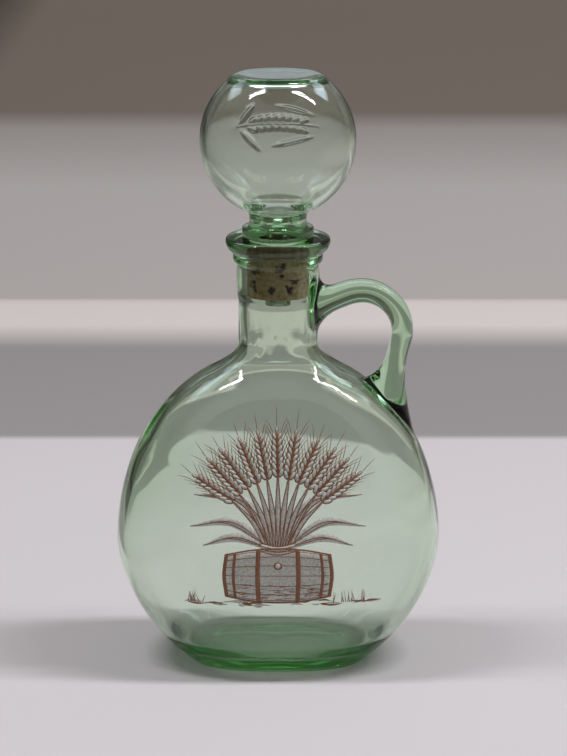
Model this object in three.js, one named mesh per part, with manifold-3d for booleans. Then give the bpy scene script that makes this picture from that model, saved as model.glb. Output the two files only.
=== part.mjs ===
// A flattened glass flask with a loop handle on its shoulder, and a hollow ball stopper
// that sits in the neck on a sleeve of cork.
// Millimetres, +Z up. The origin is the middle of the base, on the plane that it stands on.
// The broad faces look along -Y and +Y, and the handle is on the +X side.

import * as THREE from "three";
import { mergeVertices } from "three/addons/utils/BufferGeometryUtils.js";
import Module from "manifold-3d";

const wasm = await Module();
wasm.setup();

// Body, measured on its outside
const BODY_HALF_WIDTH = 71.9;
const BODY_HALF_DEPTH = 38.5;
const WIDEST_HEIGHT = 57.7; // height of the widest section
const SHOULDER_RISE = 83.5; // from there up to where the shoulder's curve would close
const HEEL_DROP = 72.2; // from there down to where the heel's curve would close
const SHOULDER_POWER = 2.02; // 2 is an ellipse, less is pointed and more is square
const HEEL_POWER = 1.77;
const SHOULDER_FACE_POWER = 2.6; // the broad faces, seen from the side
const HEEL_FACE_POWER = 2.3;
const SECTION_POWER = 2.7; // the body, cut level
const WALL = 3;

// Base
const HEEL_HEIGHT = 1.2; // where the heel's curve stops above the flat ring
const BEARING_HALF_WIDTH = 36.6; // outside of the flat ring that it stands on
const BEARING_HALF_DEPTH = 24.3;
const BEARING_RING = 4.5; // width of that ring
const PUNT_RISE = 2.8; // hollow under the base
const PUNT_STEPS = 4;
const CORNER_TOP = 13.5; // where the inside wall starts to turn into the floor
const FLOOR_HALF_WIDTH = 39.5;
const FLOOR_HALF_DEPTH = 25.5;
const FLOOR_HEIGHT = 6.6; // its lowest part, a groove round a low crown
// Floor from the wall to its middle: [share of its half width, height over the groove]
const FLOOR_STATIONS = [
  [1.06, 3.1],
  [0.99, 1],
  [0.88, 0.1],
  [0.76, 0],
  [0.5, 0.6],
  [0.25, 1],
  [0, 1.2],
];

// Neck
const BLEND_BOTTOM = 134.2; // the shoulder leaves the body's curve here
const BLEND_TOP = 147.2; // and is the round neck from here
const BLEND_STEPS = 6;
const NECK_RADIUS = 17.4;
const COLLAR_RADIUS = 18.1; // the upper neck, around the cork
const COLLAR_BOTTOM = 165.7;
const COLLAR_STEP = 2.2; // height of the cone between neck and collar
const LOWER_BORE_RADIUS = 13.9;
const BORE_RADIUS = 14.1; // around the cork
const BORE_TAPER = 0.2; // the bore is that much narrower at its foot
const BORE_FOOT = 166.4;
const BORE_STEP = 4; // height of the cone between the two bores

// Lip, with drops measured down from its flat top
const LIP_HEIGHT = 193.4;
const LIP_RADIUS = 22.9;
const LIP_ROUND = 1.8; // turn from the nose to the flat top
const NOSE_DROP = 2.2; // widest level
const CONE_TOP_DROP = 5;
const CONE_FOOT_DROP = 7.6;
const CONE_FOOT_RADIUS = 19.4;
const BEAD_RADIUS = 19.7; // small ring under the lip
const BEAD_DROP = 9.5;
const BEAD_HALF_HEIGHT = 1.5;
const MOUTH_ROUND = 0.6;

// Stopper
const STOPPER_HEIGHT = 264.3;
const BALL_RADIUS = 33.9;
const BALL_CENTRE = 235.6;
const BALL_TOP_RADIUS = 17; // flat disc on top
const BALL_TOP_ROUND = 3; // width of the turn at its rim
const BALL_SHOULDER_ANGLE = 51; // degrees above level where the ball's curve turns to the flat
const BALL_FOOT_ANGLE = 66; // degrees below level where the ball turns to its neck
const BALL_NECK_RADIUS = 12.5;
const BALL_NECK_HEIGHT = 4; // straight part over the flange
const BALL_NECK_ROUND = 2; // how far the ball's turn reaches up from there
const BALL_NECK_FILLET = 0.8;
const FLANGE_RADIUS = 15.6;
const FLANGE_THICKNESS = 4;
const FLANGE_ROUND = 0.6;
const STEM_RADIUS = 5.5;
const STEM_BORE = 2.6;
const STEM_ROUND = 0.6;
const STEM_BOTTOM = 164.2;

// Hollow of the ball, which leaves a thin shell, thickest where it turns down into the neck
const HOLLOW_RADIUS = 31.7;
const HOLLOW_RISE = 0.6; // its centre over the ball's centre
const HOLLOW_TOP_WALL = 2.4;
const HOLLOW_TOP_RADIUS = 15;
const HOLLOW_TOP_TURN = 19; // the turn from its side to its flat top is drawn out to here
const HOLLOW_SHOULDER_ANGLE = 46;
const HOLLOW_FOOT_ANGLE = 57;
const HOLLOW_FOOT_TURN = 6.3; // over the flange, the height that its turn to the neck is drawn to
const HOLLOW_NECK_RADIUS = 8.6;
const HOLLOW_NECK_HEIGHT = 3.4; // straight part over the flange
const HOLLOW_CORNER = 1.2; // sloping corner at its foot

// Cork
const CORK_TOP_RADIUS = 13.8;
const CORK_BOTTOM_RADIUS = 13.5;
const CORK_BOTTOM = 167.9;
const CORK_ROUND = 0.6;

// Clearance between pieces that touch
const GAP = 0.3;

// Handle: [distance from the axis, height, thickness across the loop] from neck to body
const HANDLE_STATIONS = [
  [13, 162.7, 28],
  [17.6, 163.2, 25],
  [20.5, 163.8, 17.2],
  [23.2, 165.3, 12.6],
  [27, 166.8, 10.6],
  [33.2, 168.7, 10.2],
  [39.6, 168.8, 10],
  [45.6, 166.6, 9.7],
  [50.6, 162.3, 9.7],
  [53.7, 156.9, 9.6],
  [54.6, 150.9, 9.4],
  [53.6, 145.1, 9],
  [52.3, 139.7, 9],
  [51.5, 133.2, 9.6],
  [51.7, 126, 10.6],
  [52.4, 118.7, 11.4],
  [53.4, 108.7, 11.2],
  [54.6, 99.7, 9],
];
const HANDLE_HALF_DEPTH = 6.6;
const HANDLE_POWER = 2.5; // section of the handle, between round and square

// Facets
const BODY_SEGMENTS = 48;
const BODY_STEP = 8; // degrees between sections along the body's curves
const STOPPER_SEGMENTS = 32;
const HANDLE_SEGMENTS = 20;
const HANDLE_STEPS = 34;
const LIP_POINTS = 3; // points on each curve of the lip
const BALL_POINTS = 5; // points on each short curve of the stopper, and twice that on its arcs
const SAME_POINT = 0.05; // points of an outline nearer than this are one

const { degToRad, radToDeg, lerp } = THREE.MathUtils;

function superCosine(angle, power) {
  const c = Math.cos(angle);
  return Math.sign(c) * Math.abs(c) ** (2 / power);
}

function ovalSection(halfWidth, halfDepth, z) {
  return { z, halfWidth, halfDepth, power: SECTION_POWER };
}

function roundSection(radius, z) {
  return { z, halfWidth: radius, halfDepth: radius, power: 2 };
}

function bodyReach(z) {
  return z > WIDEST_HEIGHT ? SHOULDER_RISE : HEEL_DROP;
}

// A level section of the body, moved inwards by inset
function bodySection(z, inset = 0) {
  const share = Math.min(Math.abs(z - WIDEST_HEIGHT) / (bodyReach(z) - inset), 1);
  const upper = z > WIDEST_HEIGHT;
  const power = upper ? SHOULDER_POWER : HEEL_POWER;
  const facePower = upper ? SHOULDER_FACE_POWER : HEEL_FACE_POWER;
  return ovalSection(
    (BODY_HALF_WIDTH - inset) * (1 - share ** power) ** (1 / power),
    (BODY_HALF_DEPTH - inset) * (1 - share ** facePower) ** (1 / facePower),
    z,
  );
}

// Heights on one side of the widest section, in even steps of angle, without the last
function heightsBetween(from, to) {
  const reach = bodyReach(Math.max(from, to));
  const first = Math.asin((from - WIDEST_HEIGHT) / reach);
  const last = Math.asin((to - WIDEST_HEIGHT) / reach);
  const steps = Math.ceil(radToDeg(last - first) / BODY_STEP);
  return Array.from(
    { length: steps },
    (_, i) => WIDEST_HEIGHT + reach * Math.sin(lerp(first, last, i / steps)),
  );
}

function bodyHeights(from, to) {
  return [...heightsBetween(from, WIDEST_HEIGHT), ...heightsBetween(WIDEST_HEIGHT, to), to];
}

// The concave turn from the shoulder into the round neck
function shoulderBlend(bottom, inset, radius) {
  const start = bodySection(bottom, inset);
  const below = bodySection(bottom - 0.1, inset);
  const rise = BLEND_TOP - bottom;
  const blend = (key, t) => {
    const smooth = t * t * (3 - 2 * t);
    const slope = ((start[key] - below[key]) / 0.1) * rise;
    return lerp(start[key], radius, smooth) + slope * t * (1 - t) ** 2;
  };
  return Array.from({ length: BLEND_STEPS }, (_, i) => {
    const t = (i + 1) / BLEND_STEPS;
    return {
      z: bottom + rise * t,
      halfWidth: blend("halfWidth", t),
      halfDepth: blend("halfDepth", t),
      power: lerp(SECTION_POWER, 2, t * t * (3 - 2 * t)),
    };
  });
}

function puntSections() {
  return Array.from({ length: PUNT_STEPS + 1 }, (_, i) => {
    const share = i / PUNT_STEPS;
    return ovalSection(
      (BEARING_HALF_WIDTH - BEARING_RING) * share,
      (BEARING_HALF_DEPTH - BEARING_RING) * share,
      PUNT_RISE * (1 - share ** 2),
    );
  });
}

// Collar, bead and lip from the neck up to the edge of the flat top
function lipPath() {
  const bead = LIP_HEIGHT - BEAD_DROP;
  const nose = LIP_HEIGHT - NOSE_DROP;
  const path = new THREE.Path();
  path.moveTo(NECK_RADIUS, COLLAR_BOTTOM);
  path.lineTo(COLLAR_RADIUS, COLLAR_BOTTOM + COLLAR_STEP);
  path.lineTo(COLLAR_RADIUS, bead - BEAD_HALF_HEIGHT);
  path.quadraticCurveTo(BEAD_RADIUS, bead - BEAD_HALF_HEIGHT, BEAD_RADIUS, bead);
  path.quadraticCurveTo(
    BEAD_RADIUS,
    bead + BEAD_HALF_HEIGHT,
    CONE_FOOT_RADIUS,
    LIP_HEIGHT - CONE_FOOT_DROP,
  );
  path.lineTo(LIP_RADIUS - 1, LIP_HEIGHT - CONE_TOP_DROP);
  path.quadraticCurveTo(LIP_RADIUS, (nose + LIP_HEIGHT - CONE_TOP_DROP) / 2, LIP_RADIUS, nose);
  path.quadraticCurveTo(LIP_RADIUS, LIP_HEIGHT, LIP_RADIUS - LIP_ROUND, LIP_HEIGHT);
  return path;
}

// The outside from the middle of the base to the flat top of the lip, grown outwards by grow
function outsideSections(grow = 0) {
  return [
    ...puntSections(),
    ovalSection(BEARING_HALF_WIDTH, BEARING_HALF_DEPTH, 0),
    ...bodyHeights(HEEL_HEIGHT, BLEND_BOTTOM).map((z) => bodySection(z, -grow)),
    ...shoulderBlend(BLEND_BOTTOM, -grow, NECK_RADIUS + grow),
    ...lipPath()
      .getPoints(LIP_POINTS)
      .map((point) => roundSection(point.x + grow, point.y)),
  ];
}

// The inside from the lip down the bore, the body's inner wall and the floor to its middle
function insideSections() {
  const mouth = new THREE.Path();
  mouth.moveTo(BORE_RADIUS + MOUTH_ROUND, LIP_HEIGHT);
  mouth.quadraticCurveTo(BORE_RADIUS, LIP_HEIGHT, BORE_RADIUS, LIP_HEIGHT - MOUTH_ROUND);
  mouth.lineTo(BORE_RADIUS - BORE_TAPER, BORE_FOOT);
  mouth.lineTo(LOWER_BORE_RADIUS, BORE_FOOT - BORE_STEP);
  const blendBottom = BLEND_BOTTOM - WALL;
  return [
    ...mouth.getPoints(LIP_POINTS).map((point) => roundSection(point.x, point.y)),
    ...shoulderBlend(blendBottom, WALL, LOWER_BORE_RADIUS).toReversed(),
    ...bodyHeights(CORNER_TOP, blendBottom)
      .toReversed()
      .map((z) => bodySection(z, WALL)),
    ...FLOOR_STATIONS.map(([share, height]) =>
      ovalSection(FLOOR_HALF_WIDTH * share, FLOOR_HALF_DEPTH * share, FLOOR_HEIGHT + height),
    ),
  ];
}

// A surface through level sections, from one on the axis to another on the axis
function loft(sections) {
  const profile = sections.map((section) => new THREE.Vector2(section.halfWidth, section.z));
  const geometry = new THREE.LatheGeometry(profile, BODY_SEGMENTS);
  const position = geometry.getAttribute("position");
  for (let i = 0; i < position.count; i++) {
    const section = sections[i % sections.length];
    const angle = (Math.floor(i / sections.length) / BODY_SEGMENTS) * 2 * Math.PI;
    position.setXYZ(
      i,
      section.halfWidth * superCosine(angle, section.power),
      section.halfDepth * superCosine(angle - Math.PI / 2, section.power),
      section.z,
    );
  }
  return geometry;
}

// A round piece from a profile that runs down its outside
function turned(profile) {
  return new THREE.LatheGeometry(profile.toReversed(), STOPPER_SEGMENTS).rotateX(Math.PI / 2);
}

function solidOf(geometry) {
  const bare = geometry.clone();
  bare.deleteAttribute("normal");
  bare.deleteAttribute("uv");
  const merged = mergeVertices(bare, 1e-3);
  return new wasm.Manifold(
    new wasm.Mesh({
      numProp: 3,
      vertProperties: merged.getAttribute("position").array,
      triVerts: new Uint32Array(merged.index.array),
    }),
  );
}

function geometryOf(solid) {
  const mesh = solid.getMesh();
  const geometry = new THREE.BufferGeometry();
  geometry.setAttribute("position", new THREE.BufferAttribute(mesh.vertProperties, 3));
  geometry.setIndex(new THREE.BufferAttribute(mesh.triVerts, 1));
  geometry.computeVertexNormals();
  return geometry;
}

function bottleGeometry() {
  return loft([...outsideSections(), ...insideSections()]);
}

// The bottle's outside as a full body, a little larger, which trims the handle's ends
function trimmingGeometry() {
  return loft([...outsideSections(GAP), roundSection(0, LIP_HEIGHT)]);
}

// A rounded bar bent along the stations in the XZ plane, trimmed where it meets the glass
function handleGeometry() {
  const points = HANDLE_STATIONS.map(([x, z]) => new THREE.Vector3(x, 0, z));
  const centre = new THREE.CatmullRomCurve3(points, false, "centripetal");
  const widths = HANDLE_STATIONS.map(([, , width]) => new THREE.Vector3(width, 0, 0));
  const thickness = new THREE.CatmullRomCurve3(widths, false, "catmullrom");
  const bar = new THREE.CylinderGeometry(1, 1, 1, HANDLE_SEGMENTS, HANDLE_STEPS);
  const position = bar.getAttribute("position");
  for (let i = 0; i < position.count; i++) {
    const along = 0.5 - position.getY(i);
    const across = new THREE.Vector2(position.getX(i), position.getZ(i));
    const place = centre.getPoint(along);
    // A point off the middle of an end cap goes to the rim of the section
    if (across.length() > 0.5) {
      const tangent = centre.getTangent(along);
      const outwards = new THREE.Vector3(tangent.z, 0, -tangent.x);
      const halfThickness = thickness.getPoint(along).x / 2;
      const angle = across.angle();
      place.addScaledVector(outwards, halfThickness * superCosine(angle, HANDLE_POWER));
      place.y = HANDLE_HALF_DEPTH * superCosine(angle - Math.PI / 2, HANDLE_POWER);
    }
    position.setXYZ(i, place.x, place.y, place.z);
  }
  return geometryOf(solidOf(bar).subtract(solidOf(trimmingGeometry())));
}

// Ball, neck, flange and stem in one piece of glass, hollow from the ball to the stem's foot
function stopperGeometry() {
  const flangeBottom = LIP_HEIGHT + GAP;
  const flangeTop = flangeBottom + FLANGE_THICKNESS;
  const neckTop = flangeTop + BALL_NECK_HEIGHT;
  const shoulder = degToRad(BALL_SHOULDER_ANGLE);
  const foot = -degToRad(BALL_FOOT_ANGLE);
  const hollowTop = STOPPER_HEIGHT - HOLLOW_TOP_WALL;
  const onBall = (angle) => [
    BALL_RADIUS * Math.cos(angle),
    BALL_CENTRE + BALL_RADIUS * Math.sin(angle),
  ];
  const hollowShoulder = degToRad(HOLLOW_SHOULDER_ANGLE);
  const hollowFoot = -degToRad(HOLLOW_FOOT_ANGLE);
  const hollowCentre = BALL_CENTRE + HOLLOW_RISE;
  const path = new THREE.Path();

  // Outside, downwards
  path.moveTo(0, STOPPER_HEIGHT);
  path.lineTo(BALL_TOP_RADIUS, STOPPER_HEIGHT);
  path.quadraticCurveTo(
    BALL_TOP_RADIUS + BALL_TOP_ROUND,
    STOPPER_HEIGHT,
    ...onBall(shoulder),
  );
  path.absarc(0, BALL_CENTRE, BALL_RADIUS, shoulder, foot, true);
  path.quadraticCurveTo(BALL_NECK_RADIUS, neckTop + BALL_NECK_ROUND, BALL_NECK_RADIUS, neckTop);
  path.lineTo(BALL_NECK_RADIUS, flangeTop + BALL_NECK_FILLET);
  path.lineTo(BALL_NECK_RADIUS + BALL_NECK_FILLET, flangeTop);
  path.lineTo(FLANGE_RADIUS - FLANGE_ROUND, flangeTop);
  path.lineTo(FLANGE_RADIUS, flangeTop - FLANGE_ROUND);
  path.lineTo(FLANGE_RADIUS, flangeBottom + FLANGE_ROUND);
  path.lineTo(FLANGE_RADIUS - FLANGE_ROUND, flangeBottom);
  path.lineTo(STEM_RADIUS, flangeBottom);
  path.lineTo(STEM_RADIUS, STEM_BOTTOM + STEM_ROUND);
  path.lineTo(STEM_RADIUS - STEM_ROUND, STEM_BOTTOM);

  // Inside, upwards
  path.lineTo(STEM_BORE, STEM_BOTTOM);
  path.lineTo(STEM_BORE, flangeTop);
  path.lineTo(HOLLOW_NECK_RADIUS - HOLLOW_CORNER, flangeTop + HOLLOW_CORNER / 2);
  path.lineTo(HOLLOW_NECK_RADIUS, flangeTop + HOLLOW_CORNER * 1.5);
  path.lineTo(HOLLOW_NECK_RADIUS, flangeTop + HOLLOW_NECK_HEIGHT);
  path.quadraticCurveTo(
    HOLLOW_NECK_RADIUS,
    flangeTop + HOLLOW_FOOT_TURN,
    HOLLOW_RADIUS * Math.cos(hollowFoot),
    hollowCentre + HOLLOW_RADIUS * Math.sin(hollowFoot),
  );
  path.absarc(0, hollowCentre, HOLLOW_RADIUS, hollowFoot, hollowShoulder, false);
  path.quadraticCurveTo(HOLLOW_TOP_TURN, hollowTop, HOLLOW_TOP_RADIUS, hollowTop);
  path.lineTo(0, hollowTop);

  const drawn = path.getPoints(BALL_POINTS);
  return turned(
    drawn.filter((point, i) => i === 0 || point.distanceTo(drawn[i - 1]) > SAME_POINT),
  );
}

// A bored, slightly tapered plug, whose outline closes on itself round the stem
function corkGeometry() {
  const bore = STEM_RADIUS + GAP;
  const path = new THREE.Path();
  path.moveTo(bore, LIP_HEIGHT);
  path.lineTo(CORK_TOP_RADIUS - CORK_ROUND, LIP_HEIGHT);
  path.lineTo(CORK_TOP_RADIUS, LIP_HEIGHT - CORK_ROUND);
  path.lineTo(CORK_BOTTOM_RADIUS, CORK_BOTTOM + CORK_ROUND);
  path.lineTo(CORK_BOTTOM_RADIUS - CORK_ROUND, CORK_BOTTOM);
  path.lineTo(bore, CORK_BOTTOM);
  path.lineTo(bore, LIP_HEIGHT);
  return turned(path.getPoints());
}

function glass() {
  return new THREE.MeshStandardMaterial({
    color: 0xc9dccb,
    roughness: 0.04,
    metalness: 0,
    transparent: true,
    opacity: 0.35,
  });
}

function cork() {
  return new THREE.MeshStandardMaterial({ color: 0x8a7650, roughness: 0.85, metalness: 0 });
}

function piece(name, geometry, material) {
  const mesh = new THREE.Mesh(geometry, material);
  mesh.name = name;
  return mesh;
}

const bottle = new THREE.Group();
bottle.add(piece("bottle_glass", bottleGeometry(), glass()));
bottle.add(piece("handle", handleGeometry(), glass()));

const stopper = new THREE.Group();
stopper.add(piece("stopper_glass", stopperGeometry(), glass()));
stopper.add(piece("cork_sleeve", corkGeometry(), cork()));

const group = new THREE.Group();
group.add(bottle, stopper);

export default group;
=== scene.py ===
"""A flattened round flask of pale green glass with a loop handle, a hollow ball stopper on a
sleeve of cork, and a fired print of a barley sheaf over a cask on its front face.

Metres, +Z up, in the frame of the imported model: the origin is the middle of the base, the
broad faces look along -Y and +Y, and the handle is on the +X side."""

import math
import random

import bmesh
import bpy
from mathutils import Matrix, Vector, noise


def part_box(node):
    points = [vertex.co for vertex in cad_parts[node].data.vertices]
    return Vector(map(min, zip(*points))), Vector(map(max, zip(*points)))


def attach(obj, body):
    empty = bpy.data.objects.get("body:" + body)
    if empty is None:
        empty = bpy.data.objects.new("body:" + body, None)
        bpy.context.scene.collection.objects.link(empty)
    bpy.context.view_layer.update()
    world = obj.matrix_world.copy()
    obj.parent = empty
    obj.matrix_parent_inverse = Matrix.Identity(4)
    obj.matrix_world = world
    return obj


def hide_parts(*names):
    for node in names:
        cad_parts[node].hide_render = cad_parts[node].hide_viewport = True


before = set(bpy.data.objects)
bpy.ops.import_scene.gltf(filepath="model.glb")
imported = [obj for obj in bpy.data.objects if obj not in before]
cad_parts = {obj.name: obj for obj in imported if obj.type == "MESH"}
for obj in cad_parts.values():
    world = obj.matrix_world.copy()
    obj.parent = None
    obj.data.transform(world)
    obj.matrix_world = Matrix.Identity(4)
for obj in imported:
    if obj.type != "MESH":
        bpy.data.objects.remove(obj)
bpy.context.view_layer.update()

bl_info = {
    "name": "Glass Flask with Ball Stopper",
    "version": (1, 0, 0),
    "blender": (4, 5, 0),
    "location": "View3D > Sidebar > Flask",
    "description": "Makes a handled glass flask, its ball stopper and cork, and its print",
    "category": "Add Mesh",
}

MM = 0.001

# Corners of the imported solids, from which the driving sizes come
_, BOTTLE_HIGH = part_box("bottle_glass")
STOPPER_LOW, STOPPER_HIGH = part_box("stopper_glass")
CORK_LOW, CORK_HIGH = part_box("cork_sleeve")

# Body of the flask: the curves of its outline and of its level sections
SHOULDER_POWER = 2.02  # 2 is an ellipse, less is pointed and more is square
HEEL_POWER = 1.77
SHOULDER_FACE_POWER = 2.6  # the broad faces, seen from the side
HEEL_FACE_POWER = 2.3
SECTION_POWER = 2.7  # the body, cut level
BODY_STEP = 2.6  # degrees between sections along the body's curves
BODY_SEGMENTS = 128

# Base
HEEL_HEIGHT = 1.2 * MM
BEARING_HALF_WIDTH = 36.6 * MM
BEARING_HALF_DEPTH = 24.3 * MM
BEARING_RING = 4.5 * MM
PUNT_RISE = 2.8 * MM
PUNT_STEPS = 8
PUNT_EDGE = 0.94  # share of the hollow's width at which it starts to turn into the ring
RING_TURN = 0.35  # share of the ring's width that the turn takes on each side
CORNER_TOP = 13.5 * MM
FLOOR_HALF_WIDTH = 39.5 * MM
FLOOR_HALF_DEPTH = 25.5 * MM
FLOOR_HEIGHT = 6.6 * MM
# Floor from the wall to its middle: share of its half width, height over its groove
FLOOR_STATIONS = (
    (1.06, 3.1 * MM),
    (0.99, 1.0 * MM),
    (0.88, 0.1 * MM),
    (0.76, 0.0),
    (0.5, 0.6 * MM),
    (0.25, 1.0 * MM),
    (0.0, 1.2 * MM),
)
FLOOR_STEPS = 4  # rings of vertices from one floor station to the next

# Neck
BLEND_BOTTOM = 134.2 * MM
BLEND_TOP = 147.2 * MM
BLEND_STEPS = 10
COLLAR_FOOT = 165.3 * MM
COLLAR_TOP = 168.3 * MM
COLLAR_STEP = 0.7 * MM
LOWER_BORE_RADIUS = 13.9 * MM
BORE_RADIUS = 14.1 * MM
BORE_TAPER = 0.2 * MM
BORE_FOOT = 166.4 * MM
BORE_STEP = 4 * MM

# Lip, with drops measured down from its flat top
LIP_ROUND = 1.8 * MM
NOSE_DROP = 2.2 * MM
CONE_TOP_DROP = 5 * MM
CONE_FOOT_DROP = 7.6 * MM
CONE_TOP_INSET = 1 * MM  # from the lip's widest part
CONE_FOOT_RADIUS = 19.4 * MM
BEAD_RADIUS = 19.7 * MM
BEAD_DROP = 9.5 * MM
BEAD_HALF_HEIGHT = 1.5 * MM
MOUTH_ROUND = 0.6 * MM
CURVE_STEPS = 6

# Handle
HANDLE_HALF_DEPTH = 6.6 * MM
HANDLE_POWER = 2.7
# Free part of the bar in mm: distance from the axis, height, thickness across the loop
HANDLE_STATIONS = (
    (22.0, 164.9, 11.4),
    (27.0, 166.8, 10.4),
    (33.2, 168.7, 10.2),
    (39.6, 168.8, 10.0),
    (45.6, 166.6, 9.7),
    (50.6, 162.3, 9.7),
    (53.7, 156.9, 9.6),
    (54.6, 150.9, 9.4),
    (53.6, 145.1, 9.0),
    (52.3, 139.7, 9.0),
    (51.6, 134.2, 9.4),
)
HANDLE_RINGS = 36
HANDLE_REACH = 40 * MM  # the free bar's ends are nearer to the glass than this
HALVINGS = 40  # of that reach, to find the glass
FILLET_RINGS = (10, 22)  # at the neck and at the body
# How far each end's curve is drawn into its corner, across the loop and at its sides
FILLET_PULLS = ((0.6, 0.6), (0.42, 0.82))
# Roots of the handle on the glass: lowest and highest level, half width, and half of the
# segments that they take
NECK_ROOT = (149.2 * MM, 177.2 * MM, 8.6 * MM, 10)
BODY_ROOT = (98.0 * MM, 130.5 * MM, 7.2 * MM, 4)
NECK_ROOT_LEVELS = 14
ROOT_REACH = 1.9  # how far the sections near a root are drawn towards it, as a share of it

# How the inside of the glass strays from its curve
WAVES = ((0.45 * MM, 24), (0.14 * MM, 60))  # height of each, and how many to the metre
CALM_SHARE, CALM_FOOT, CALM_RISE = 0.75, 125 * MM, 20 * MM  # what they lose up in the neck
# The wall away from the handle gets thicker upwards: by a slope from a level, within limits
LEAN_SLOPE, LEAN_LEVEL, LEAN_LIMITS = 0.035, 55 * MM, (-0.8 * MM, 1.6 * MM)
LEAN_START, LEAN_TURN = 10 * MM, 50 * MM  # it sets in from so far off the axis
LEAN_TOP, LEAN_FADE = 125 * MM, 30 * MM  # and fades out below this height
# Fine upright streaks inside the neck, and the heights between which they show
STREAKS, STREAK_HEIGHT = 17, 0.05 * MM
STREAK_FOOT, STREAK_RISE = 138 * MM, 7 * MM
STREAK_TOP, STREAK_FADE = 158 * MM, 9 * MM

# Stopper
BALL_TOP_RADIUS = 17 * MM
BALL_TOP_ROUND = 3 * MM
BALL_SHOULDER_ANGLE = math.radians(51)
BALL_FOOT_ANGLE = math.radians(-66)
BALL_NECK_RADIUS = 12.5 * MM
BALL_NECK_HEIGHT = 4 * MM
BALL_NECK_ROUND = 2 * MM
BALL_NECK_FILLET = 0.8 * MM
FLANGE_RADIUS = 15.6 * MM
FLANGE_THICKNESS = 4 * MM
FLANGE_ROUND = 0.6 * MM
STEM_RADIUS = 5.5 * MM
STEM_BORE = 2.6 * MM
STEM_ROUND = 0.6 * MM
HOLLOW_RADIUS = 31.7 * MM
HOLLOW_RISE = 0.6 * MM  # its centre over the ball's centre
HOLLOW_TOP_WALL = 2.4 * MM
HOLLOW_TOP_RADIUS = 15 * MM
HOLLOW_TOP_TURN = 19 * MM  # the turn from its side to its flat top is drawn out to here
HOLLOW_SHOULDER_ANGLE = math.radians(46)
HOLLOW_FOOT_ANGLE = math.radians(-57)
HOLLOW_FOOT_TURN = 6.3 * MM  # over the flange, the height that its turn to the neck is drawn to
HOLLOW_NECK_RADIUS = 8.6 * MM
HOLLOW_NECK_HEIGHT = 3.4 * MM  # straight part over the flange
HOLLOW_CORNER = 1.2 * MM
STEM_TOP_ROUND = 0.2 * MM
BORE_TOP_ROUND = 0.6 * MM
BALL_STEP = math.radians(2.5)
STOPPER_SEGMENTS = 128
GAP = 0.3 * MM

# Cork
CORK_TAPER = 0.3 * MM
CORK_CORNER = 0.6 * MM
CORK_SEGMENTS = 256
CORK_LEVELS = 90

# Materials
GLASS_IOR = 1.52
GLASS_DENSITY = 70.0  # how strongly it takes up light, for each metre
GLASS_WAVE, GLASS_WAVE_HEIGHT = 14 * MM, 0.06 * MM
GLASS_FILM = 22 * MM  # width of the slightly duller patches
STIPPLE_TOP, STIPPLE_FULL = 3.6 * MM, 3.0 * MM  # heights at which the stipple starts and is full
STIPPLE_ROUGHNESS = 0.45
CORK_GRAIN = 1.6 * MM
# Heights over which the cork turns darker towards its top, just under the stopper's flange
TOP_TONE_FOOT, TOP_TONE_FULL = 184.5 * MM, 186.5 * MM
ENAMEL_MOTTLE = 0.9 * MM

# Overhead lamps of two tubes each: name, x of their middle, length and power of each tube
LAMPS = (("left", -0.72, 0.64, 6.6), ("right", 1.04, 1.18, 12.2))
TUBES = (("back", -0.03), ("front", -0.13))  # name and y
TUBE_WIDTH = 0.018
LAMP_HEIGHT = 1.8
# Large soft panes behind: name, middle, size, power
PANES = (
    ("left", (-1.2, 0.9, 1.5), (0.8, 0.5), 3.5),
    ("middle", (0.0, 1.4, 1.6), (1.2, 0.5), 4.5),
    ("right", (1.2, 0.9, 1.5), (0.8, 0.5), 5.0),
    ("low", (0.0, 1.7, 0.49), (1.6, 0.09), 0.2),
)
PANE_TARGET = (0, 0, 0.2)
PANE_COLOUR = (0.72, 0.86, 1.0)
SKY_COLOUR = (1.0, 0.95, 0.87)
BOUNCES = 64  # light crosses many walls of glass

LENS = 119.05  # mm, over a sensor of 36 mm
CAMERA_PLACE = (0.0024, -1.064, 0.42336)
CAMERA_TILT = math.radians(74.55)  # from straight down

SHEET_RADIUS = 6.0
# Tones of the sheet under the flask, in frames round it, by their distance behind it in metres
SHEET_TONES = (
    (0.0, "floor"),
    (0.336, "floor"),
    (0.342, "far_floor"),
    (0.545, "far_floor"),
    (0.605, "pale_strip"),
    (0.672, "pale_strip"),
    (0.682, "wall"),
    (1.1, "wall_middle"),
    (1.4, "wall"),
    (1.5, "wall_top"),
    (2.5, "wall_end"),
)
SHEET_STRETCH = 1.352  # the frames are that much narrower from left to right
SHEET_SHIFT = 0.108  # and lie off to the right, so that the flask's left side looks darker
# Changes of the sheet's level: from one distance to the next, and the level at each of them
SHEET_GATHERED = (0.03, 0.038, 1.5, 1.0)  # light that the glass gathers under the flask
SHEET_FRONT = (-0.2, -0.42, 1.0, 0.3)  # along Y
SHEET_LEFT = (-0.32, -0.42, 1.0, 0.25)  # along X

# Print on the front face: a sheaf of barley over a lying cask. Lengths are in mm, and places
# are (x, z)
PRINT_GAP = 0.04  # from the glass to the back of the lowest layer
PRINT_LAYER = 0.05  # from each layer to the next
PRINT_SHARE = 0.8  # how much of that is enamel
EARS = 11
EAR_SPREAD = math.radians(50)  # of the outermost ears from upright
EAR_FOOT = 34  # from the waist to an ear's lowest kernels
EAR_LENGTH = 18
KERNEL_PAIRS = 7
WAIST = Vector((0.0, 63.0))
CASK = Vector((0.0, 50.5))
CASK_HALF_LENGTH = 23
CASK_HALF_HEIGHTS = (9.6, 11.8, 12.6, 11.8, 9.6)
STAVES = 9
# Its hoops: x and width of each
HOOPS = ((-22.4, 1.6), (-18.6, 1.3), (-8.5, 2.0), (8.5, 2.0), (18.6, 1.3), (22.4, 1.6))
HATCHES = 70
GROUND_STROKES = 46
STUBBLE_STROKES = 26

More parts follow.
